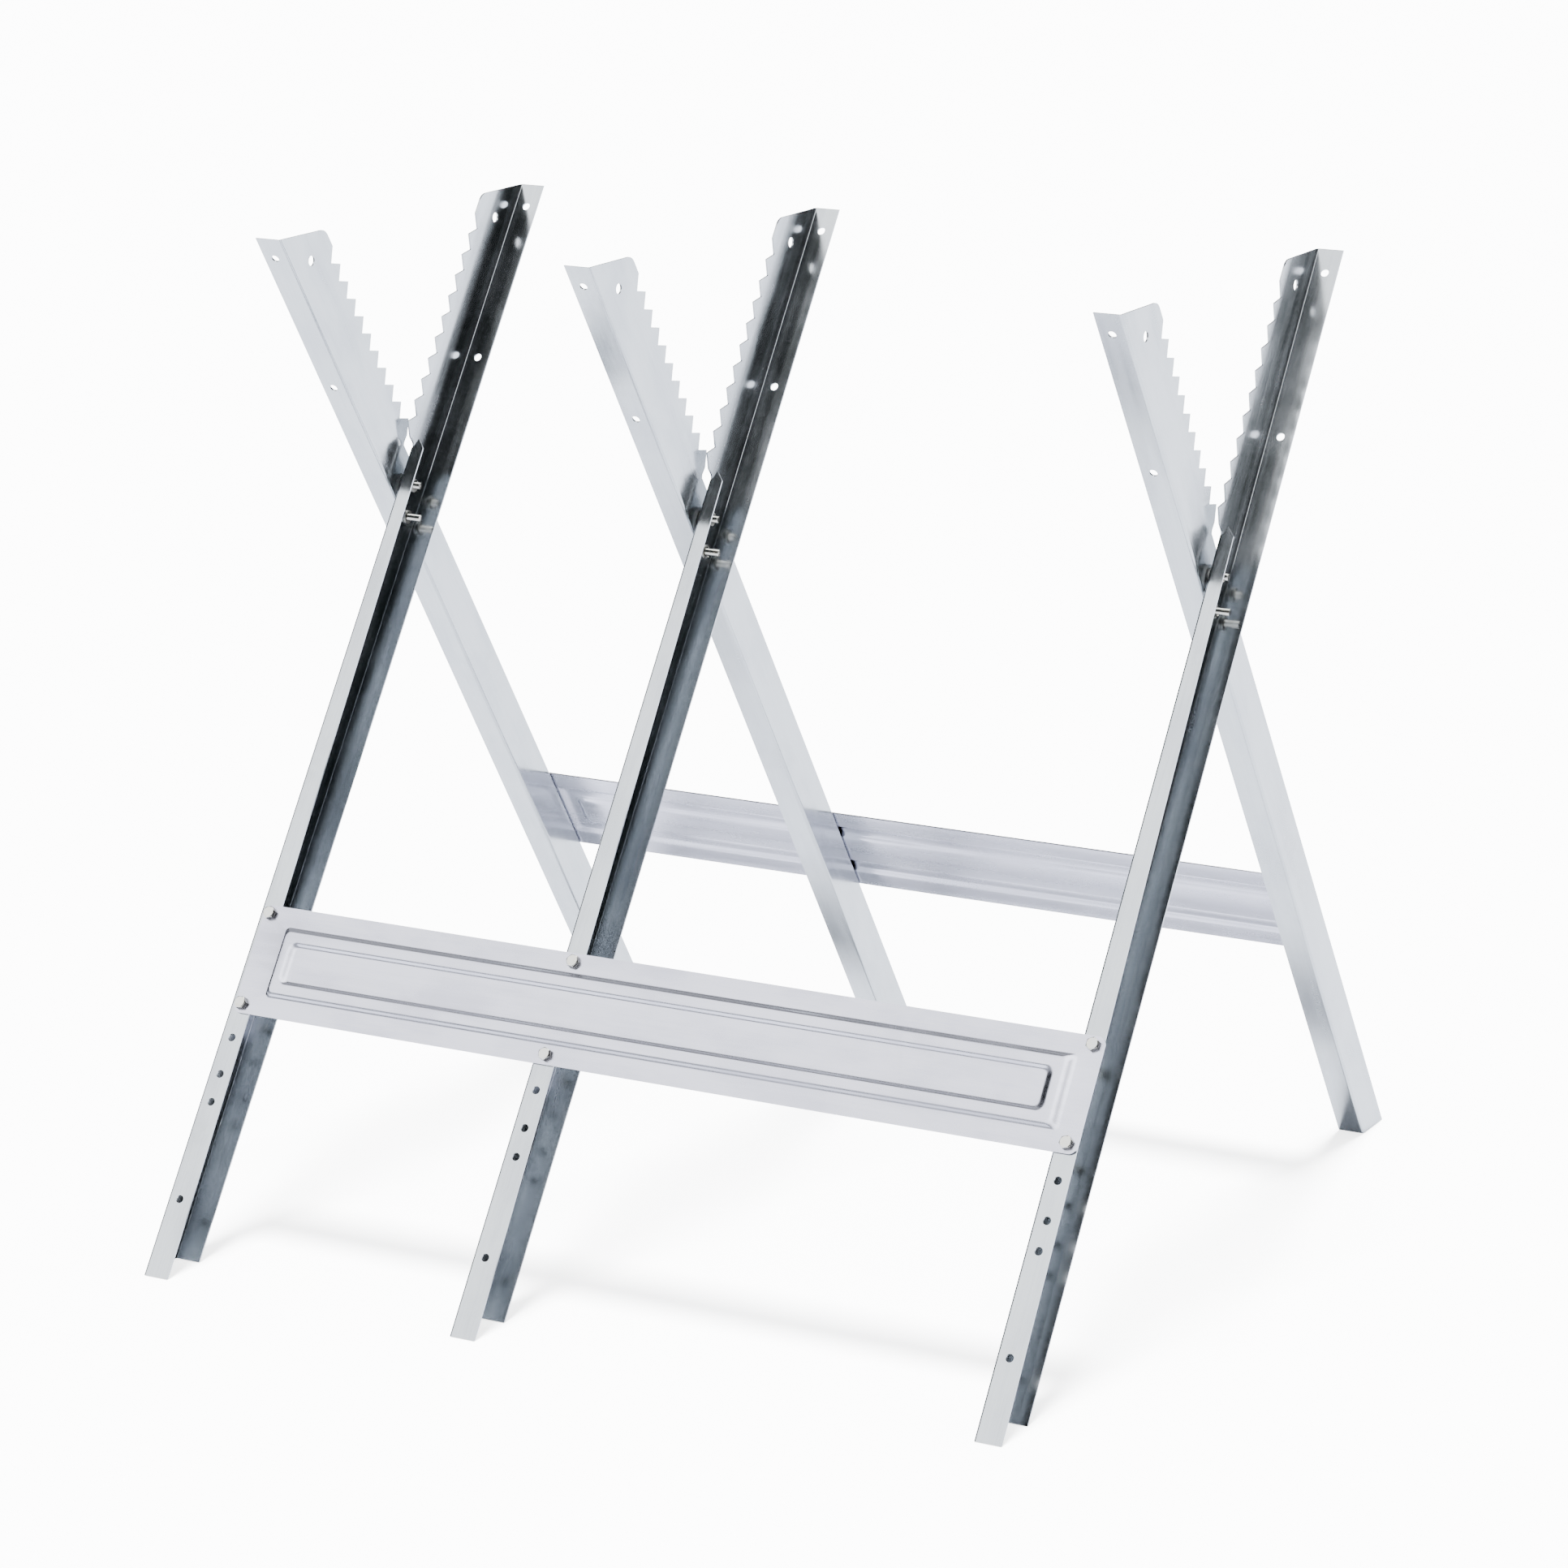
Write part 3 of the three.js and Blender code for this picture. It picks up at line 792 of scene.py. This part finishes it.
def press(panel, before, after, low, high, steps=1):
    """Steps the middle face in from one outline to the next, levelling out like pressed sheet."""
    last = before
    for step in range(1, steps + 1):
        part = step / steps
        now = Outline(*(a + (b - a) * part for a, b in zip(before, after)))
        middle = middle_face(panel).index
        select_faces(panel, lambda face: face.index == middle)
        bpy.ops.mesh.inset(thickness=PRESS_INSET, depth=0, use_boundary=True)
        bpy.ops.object.mode_set(mode="OBJECT")
        shrunk = Outline(
            last.length - 2 * PRESS_INSET,
            last.height - 2 * PRESS_INSET,
            last.corner - PRESS_INSET,
            last.middle,
        )
        level = low + (high - low) * (1 - math.cos(math.pi * part)) / 2
        move_outline(panel, shrunk, now, level)
        last = now


def pressed_panel(length):
    """A brace panel centred on the origin, its back at y = 0 and its ring pressed towards -Y."""
    s = sizes()
    height = s.ring_height
    panel = rounded_outline("brace_model", length, s.panel_height, s.panel_corner)
    make_active(panel)
    rim = outline(length, 0, 0, 0, s.panel_corner)
    foot, crest, brink, field = (
        ring_outline(length, *ring) for ring in (RING_FOOT, RING_CREST, RING_BRINK, RING_FIELD)
    )
    press(panel, rim, foot, 0, 0)
    press(panel, foot, crest, 0, height, SLOPE_STEPS)
    press(panel, crest, brink, height, height)
    press(panel, brink, field, height, 0, SLOPE_STEPS)
    make_active(panel)
    bpy.ops.object.mode_set(mode="EDIT")
    bpy.ops.mesh.select_all(action="SELECT")
    bpy.ops.mesh.normals_make_consistent(inside=False)
    bpy.ops.object.mode_set(mode="OBJECT")
    middle = max(panel.data.polygons, key=lambda face: face.area)
    if middle.normal.y > 0:
        bpy.ops.object.mode_set(mode="EDIT")
        bpy.ops.mesh.select_all(action="SELECT")
        bpy.ops.mesh.flip_normals()
        bpy.ops.object.mode_set(mode="OBJECT")
    apply_modifier(panel, "SOLIDIFY", thickness=s.sheet, offset=-1.0)
    panel.location.y = -s.sheet
    bake_place(panel)
    smooth(panel, 35)
    return panel


def brace_place(side):
    """Where a brace's own frame stands: X along it, its ring towards the outside."""
    node = f"{side}_brace"
    low, high = (Vector(corner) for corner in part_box(node))
    turn = Matrix.Rotation(-LEAN, 4, "X")
    if side == "rear":
        turn = Matrix.Rotation(math.pi, 4, "Z") @ turn
    # The back of the sheet touches the box's inner upper edge, half a panel above its centre.
    top_back = turn @ Vector((0, 0, sizes().panel_height / 2))
    inner_y = high.y if side == "front" else low.y
    centre = Vector(((low.x + high.x) / 2, inner_y - top_back.y, 0))
    # The highest point is the outer upper edge of the sheet.
    top_front = turn @ Vector((0, -sizes().sheet, sizes().panel_height / 2))
    centre.z = high.z - max(top_front.z, top_back.z)
    return Matrix.Translation(centre) @ turn


class SAWHORSE_OT_braces(bpy.types.Operator):
    """Make the two pressed brace panels"""

    bl_idname = "sawhorse.braces"
    bl_label = "Braces"

    def execute(self, context):
        low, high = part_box("front_brace")
        model = pressed_panel(high[0] - low[0])
        for side in SIDES:
            piece = copy_piece(model, f"made_{side}_brace", brace_place(side))
            dress(piece, brace_zinc(side))
            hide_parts(f"{side}_brace")
            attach(piece, f"{side}_frame")
        discard(model)
        return {"FINISHED"}


# ---- Bolts and nuts ----


def rod_between(name, sides, radius, depth, middle):
    """A plain round or hex rod along Z, from which a fastener starts."""
    deselect_all()
    bpy.ops.mesh.primitive_cylinder_add(
        vertices=sides, radius=radius, depth=depth, location=(0, 0, middle)
    )
    rod = named_primitive(name)
    bake_place(rod)
    return rod


def cut_with(obj, tool, operation):
    """Joins, intersects or cuts with a tool, and discards the tool."""
    apply_modifier(obj, "BOOLEAN", object=tool, operation=operation, solver="EXACT")
    discard(tool)


def hex_block(name, height):
    """A hex end from z = 0 up to height, with its top corners turned off."""
    flats = sizes().across_flats
    block = rod_between(name, 6, flats / math.sqrt(3), height, height / 2)
    # Half of the turned tool stands below the block, so only its top cuts.
    radius = flats * TURNED_RADIUS
    turned = rod_between(name + "_turned", TURNED_SIDES, radius, height * 1.5, height * 0.25)
    select_faces(turned, lambda face: face.normal.z > 0.9)
    bpy.ops.mesh.inset(thickness=radius - flats * FLAT_RADIUS, depth=0)
    bpy.ops.object.mode_set(mode="OBJECT")
    rim = flats * TURNED_RIM
    select_vertices(turned, lambda co: co.z > height * 0.9 and math.hypot(co.x, co.y) > rim)
    bpy.ops.transform.translate(value=(0, 0, -TURNED_DROP))
    bpy.ops.object.mode_set(mode="OBJECT")
    cut_with(block, turned, "INTERSECT")
    return block


def threaded_rod(name, length, plain):
    """A rod down from z = 0, with its thread as close rings below the plain length."""
    s = sizes()
    crest = s.thread / 2 - THREAD_CLEARANCE
    root = crest - 0.5 * s.pitch
    rod = rod_between(name, ROD_SIDES, crest, plain, -plain / 2)
    select_faces(rod, lambda face: face.normal.z < -0.9)
    turns = int((length - plain) / s.pitch)
    step = s.pitch / 2
    for _ in range(turns):
        for scale in (root / crest, crest / root):
            bpy.ops.mesh.extrude_region_move(TRANSFORM_OT_translate={"value": (0, 0, -step)})
            bpy.ops.transform.resize(value=(scale, scale, 1))
    rest = length - plain - turns * s.pitch
    if rest > 0.05 * MM:
        bpy.ops.mesh.extrude_region_move(TRANSFORM_OT_translate={"value": (0, 0, -rest)})
    bpy.ops.transform.resize(value=(ROD_TIP, ROD_TIP, 1))
    bpy.ops.object.mode_set(mode="OBJECT")
    return rod


def joined(name, first, other):
    cut_with(first, other, "UNION")
    first.name = name
    first.data.name = name
    return first


def rounded_edges(obj, width):
    apply_modifier(
        obj,
        "BEVEL",
        width=width,
        segments=2,
        limit_method="ANGLE",
        angle_limit=math.radians(35),
        use_clamp_overlap=True,
    )
    smooth(obj, 30)


def hex_bolt(name, length, plain):
    """A hex bolt along Z: head above z = 0 and thread below."""
    block = hex_block(name, HEX_HEAD)
    rod = threaded_rod(name + "_rod", length, plain)
    rod.location.z = ROD_IN_HEX_HEAD
    bake_place(rod)
    rounded_edges(block, HEX_EDGE)
    return joined(name, block, rod)


def sunk_bolt(name, length):
    """A countersunk bolt along Z: its flat face at z = 0 and its thread below."""
    deselect_all()
    bpy.ops.mesh.primitive_cone_add(
        vertices=40,
        radius1=sizes().thread / 2,
        radius2=SUNK_RADIUS,
        depth=SUNK_HEAD,
        location=(0, 0, -SUNK_HEAD / 2),
    )
    head = named_primitive(name)
    bake_place(head)
    rod = threaded_rod(name + "_rod", length - ROD_UNDER_SUNK_FACE, SUNK_SHANK)
    rod.location.z = -ROD_UNDER_SUNK_FACE
    bake_place(rod)
    return joined(name, head, rod)


def hex_nut(name, height):
    """A nut from z = 0 up, its corners turned off at both ends."""
    block = hex_block(name, height)
    # Its underside is turned like its top.
    flipped = hex_block(name + "_under", height)
    flipped.rotation_euler.x = math.pi
    flipped.location.z = height
    bake_place(flipped)
    cut_with(block, flipped, "INTERSECT")
    rounded_edges(block, HEX_EDGE)
    radius = sizes().thread / 2 + BORE_CLEARANCE
    bore = rod_between(name + "_bore", ROD_SIDES, radius, height * 3, 0)
    cut_with(block, bore, "DIFFERENCE")
    smooth(block, 30)
    return block


def axis_matrix(direction, origin, spin=0.0):
    """Turns +Z to a direction, and puts the origin in place."""
    turn = Vector((0, 0, 1)).rotation_difference(Vector(direction)).to_matrix().to_4x4()
    return Matrix.Translation(Vector(origin)) @ turn @ Matrix.Rotation(spin, 4, "Z")


def along(node, direction):
    """The least and greatest reach of a CAD node along a direction."""
    d = Vector(direction).normalized()
    reach = [v.co.dot(d) for v in frame["nodes"][node].data.vertices]
    return min(reach), max(reach)


def outward(side):
    """Square out of a brace panel, towards the outside."""
    y = -math.cos(LEAN) if side == "front" else math.cos(LEAN)
    return Vector((0, y, math.sin(LEAN)))


def end_point(node, direction, reach):
    """The point on a node's axis at a reach along it."""
    d = Vector(direction).normalized()
    centre = centre_of(node)
    return centre + d * (reach - centre.dot(d))


def place_fastener(model, node, body, direction, seat, spin=0.0):
    """Puts a copy of a model in place of a CAD node, its Z along a direction."""
    piece = copy_piece(model, "made_" + node, axis_matrix(direction, seat, spin))
    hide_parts(node)
    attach(piece, body)


class SAWHORSE_OT_brace_bolts(bpy.types.Operator):
    """Make the bolts and nuts of the brace panels"""

    bl_idname = "sawhorse.brace_bolts"
    bl_label = "Brace bolts and nuts"

    def execute(self, context):
        out = outward("front")
        low, high = along("brace_bolt_front_left_upper", out)
        bolt_model = hex_bolt("bolt_model", high - low - HEX_HEAD, BRACE_SHANK)
        low, high = along("brace_nut_front_left_upper", out)
        nut_model = hex_nut("nut_model", high - low)
        dress_hex(bolt_model)
        dress_hex(nut_model)
        spots = [(side, place, row) for side in SIDES for place in FRAMES for row in ROWS]
        for count, (side, place, row) in enumerate(spots, 1):
            out = outward(side)
            body = f"{side}_frame"
            spin = count * BRACE_BOLT_TURN
            node = f"brace_bolt_{side}_{place}_{row}"
            seat = end_point(node, out, along(node, out)[1] - HEX_HEAD)
            place_fastener(bolt_model, node, body, out, seat, spin)
            node = f"brace_nut_{side}_{place}_{row}"
            seat = end_point(node, out, along(node, out)[1])
            place_fastener(nut_model, node, body, -out, seat, spin * BRACE_NUT_TURN)
        discard(bolt_model)
        discard(nut_model)
        return {"FINISHED"}


class SAWHORSE_OT_pivots(bpy.types.Operator):
    """Make the pivot bolts, the lower bolts and their nuts"""

    bl_idname = "sawhorse.pivots"
    bl_label = "Pivot and lower bolts"

    def execute(self, context):
        x_axis = Vector((1, 0, 0))
        low, high = along("pivot_bolt_left", x_axis)
        pivot_model = hex_bolt("pivot_model", high - low - HEX_HEAD, PIVOT_SHANK)
        low, high = along("lower_bolt_left", x_axis)
        lower_model = sunk_bolt("lower_model", high - low)
        low, high = along("pivot_nut_left", x_axis)
        nut_model = hex_nut("crossing_nut_model", high - low)
        dress_hex(pivot_model)
        dress_hex(nut_model)
        dress(lower_model, plated_zinc("bright plated bolt"))
        for index, place in enumerate(FRAMES):
            spin = PIVOT_START + index * PIVOT_BOLT_TURN
            node = f"pivot_bolt_{place}"
            seat = end_point(node, x_axis, along(node, x_axis)[0] + HEX_HEAD)
            place_fastener(pivot_model, node, "front_frame", -x_axis, seat, spin)
            node = f"lower_bolt_{place}"
            seat = end_point(node, x_axis, along(node, x_axis)[0])
            place_fastener(lower_model, node, "front_frame", -x_axis, seat)
            for role in ("pivot", "lower"):
                node = f"{role}_nut_{place}"
                spin += PIVOT_NUT_TURN
                seat = end_point(node, x_axis, along(node, x_axis)[0])
                place_fastener(nut_model, node, "front_frame", x_axis, seat, spin)
        for model in (pivot_model, lower_model, nut_model):
            discard(model)
        return {"FINISHED"}


# ---- Stage ----


def overhead_light():
    """A broad light straight above, which only the floor shows: the metal mirrors the world."""
    data = bpy.data.lights.new("overhead", "SUN")
    data.energy = LAMP_POWER
    data.angle = LAMP_ANGLE
    light = bpy.data.objects.new("overhead", data)
    light.location = (0, 0, LAMP_HEIGHT)
    light.visible_glossy = False
    bpy.context.scene.collection.objects.link(light)


def near_bearing(tree, bearing, towards, reach):
    """1 near a bearing and 0 away from it, between two cosines."""
    node = tree.nodes.new("ShaderNodeVectorMath")
    node.operation = "DOT_PRODUCT"
    tree.links.new(bearing, node.inputs[0])
    node.inputs[1].default_value = Vector(towards).normalized()
    return ranged(tree, node.outputs["Value"], *reach)


def studio_world():
    """A white backdrop for the camera, and a soft box and an unlit side for metal to mirror."""
    world = bpy.data.worlds.new("studio")
    bpy.context.scene.world = world
    world.use_nodes = True
    tree = world.node_tree
    background = tree.nodes["Background"]
    background.inputs["Strength"].default_value = 1.0
    bearing = tree.nodes.new("ShaderNodeTexCoord").outputs["Generated"]
    split = tree.nodes.new("ShaderNodeSeparateXYZ")
    tree.links.new(bearing, split.inputs[0])
    across, up = split.outputs["X"], split.outputs["Z"]

    # The unlit side is in front, to the right and above, and starts where the soft box ends.
    right_of_box = ranged(tree, across, 0.15, 0.29)
    front = near_bearing(tree, bearing, UNLIT_FRONT, UNLIT_REACH)
    front = math_node(tree, "MULTIPLY", front, right_of_box)
    # The same again behind, less dark.
    left_of_box = ranged(tree, across, -0.15, -0.29, 0.0, 0.8)
    back = near_bearing(tree, bearing, UNLIT_BACK, UNLIT_REACH)
    back = math_node(tree, "MULTIPLY", back, left_of_box)
    screen = near_bearing(tree, bearing, SCREEN, SCREEN_REACH)
    dark = math_node(tree, "MAXIMUM", math_node(tree, "MAXIMUM", front, back), screen)
    # The soft box ends overhead, and is brightest to the left of the middle.
    box_light = mixed(tree, ranged(tree, up, 0.76, 0.99), BOX_LIGHT, BOX_TOP)
    box_light = mixed(tree, ranged(tree, across, -0.34, -0.14), box_light, BOX_MIDDLE)
    box_light = mixed(tree, ranged(tree, up, 0.16, 0.56), BOX_FOOT, box_light)
    bright = mixed(tree, dark, box_light, UNLIT)
    rays = tree.nodes.new("ShaderNodeLightPath")
    seen = mixed(tree, rays.outputs["Is Camera Ray"], bright, BACKDROP)
    tree.links.new(seen, background.inputs["Color"])


def studio_floor():
    deselect_all()
    bpy.ops.mesh.primitive_plane_add(size=FLOOR_SIZE, location=(0, 0, -FLOOR_DROP))
    floor = named_primitive("studio_floor")
    bake_place(floor)
    material, tree, shader = fresh_material("pale studio floor")
    vector = turned_vector(tree)
    grain = noise(tree, vector, scale=2.5, detail=3, roughness=0.5)
    colour = tuple(finish_of().floor)
    tint = mixed(tree, ranged(tree, grain, 0.3, 0.7), (*colour, 1), dulled(colour, 0.985))
    # Painted shade for the metal to mirror: for glossy rays the floor's colour is darker than the
    # light washes it out for the camera, and darker still far in front.
    rays = tree.nodes.new("ShaderNodeLightPath")
    split = tree.nodes.new("ShaderNodeSeparateXYZ")
    tree.links.new(vector, split.inputs[0])
    near = ranged(tree, split.outputs["Y"], -1.9, -0.8)
    mirrored = mixed(tree, near, FLOOR_FAR, FLOOR_NEAR)
    tint = mixed(tree, rays.outputs["Is Glossy Ray"], tint, mirrored)
    tree.links.new(tint, shader.inputs["Base Color"])
    glow = mixed(tree, rays.outputs["Is Camera Ray"], (0, 0, 0, 1), (1, 1, 1, 1))
    tree.links.new(glow, shader.inputs["Emission Color"])
    shader.inputs["Emission Strength"].default_value = FLOOR_GLOW
    shader.inputs["Roughness"].default_value = 0.9
    shader.inputs["Specular IOR Level"].default_value = 0.1
    dress(floor, material)


def studio_camera():
    data = bpy.data.cameras.new("camera")
    data.lens = CAMERA_LENS
    data.sensor_width = CAMERA_SENSOR
    data.clip_end = 200.0
    data.dof.use_dof = False
    camera = bpy.data.objects.new("camera", data)
    bpy.context.scene.collection.objects.link(camera)
    azimuth, rise, roll = (math.radians(turn) for turn in CAMERA_TURNS)
    back = Vector(
        (
            math.sin(azimuth) * math.cos(rise),
            -math.cos(azimuth) * math.cos(rise),
            math.sin(rise),
        )
    )
    right = Vector((math.cos(azimuth), math.sin(azimuth), 0))
    up = back.cross(right)
    right, up = (
        right * math.cos(roll) + up * math.sin(roll),
        up * math.cos(roll) - right * math.sin(roll),
    )
    turn = Matrix((right, up, back)).transposed()
    camera.matrix_world = Matrix.Translation(CAMERA_PLACE) @ turn.to_4x4()
    bpy.context.scene.camera = camera


class SAWHORSE_OT_stage(bpy.types.Operator):
    """Make the floor, the light and the camera"""

    bl_idname = "sawhorse.stage"
    bl_label = "Stage"

    def execute(self, context):
        studio_world()
        studio_floor()
        studio_camera()
        overhead_light()
        return {"FINISHED"}


# ---- Add-on ----

STEPS = (
    SAWHORSE_OT_legs,
    SAWHORSE_OT_braces,
    SAWHORSE_OT_brace_bolts,
    SAWHORSE_OT_pivots,
    SAWHORSE_OT_washers,
    SAWHORSE_OT_stage,
)


class SAWHORSE_PT_panel(bpy.types.Panel):
    bl_label = "Folding Sawhorse"
    bl_space_type = "VIEW_3D"
    bl_region_type = "UI"
    bl_category = "Sawhorse"

    def draw(self, context):
        layout = self.layout
        for group in (sizes(), finish_of()):
            box = layout.box()
            for name in group.__annotations__:
                box.prop(group, name)
        for step in STEPS:
            layout.operator(step.bl_idname)


CLASSES = (SAWHORSE_PG_sizes, SAWHORSE_PG_finish, *STEPS, SAWHORSE_PT_panel)


def register():
    for cls in CLASSES:
        bpy.utils.register_class(cls)
    bpy.types.Scene.sawhorse_sizes = bpy.props.PointerProperty(type=SAWHORSE_PG_sizes)
    bpy.types.Scene.sawhorse_finish = bpy.props.PointerProperty(type=SAWHORSE_PG_finish)


def unregister():
    del bpy.types.Scene.sawhorse_finish
    del bpy.types.Scene.sawhorse_sizes
    for cls in reversed(CLASSES):
        bpy.utils.unregister_class(cls)


def main():
    register()
    for step in STEPS:
        group, name = step.bl_idname.split(".")
        getattr(getattr(bpy.ops, group), name)()


if __name__ == "__main__":
    main()
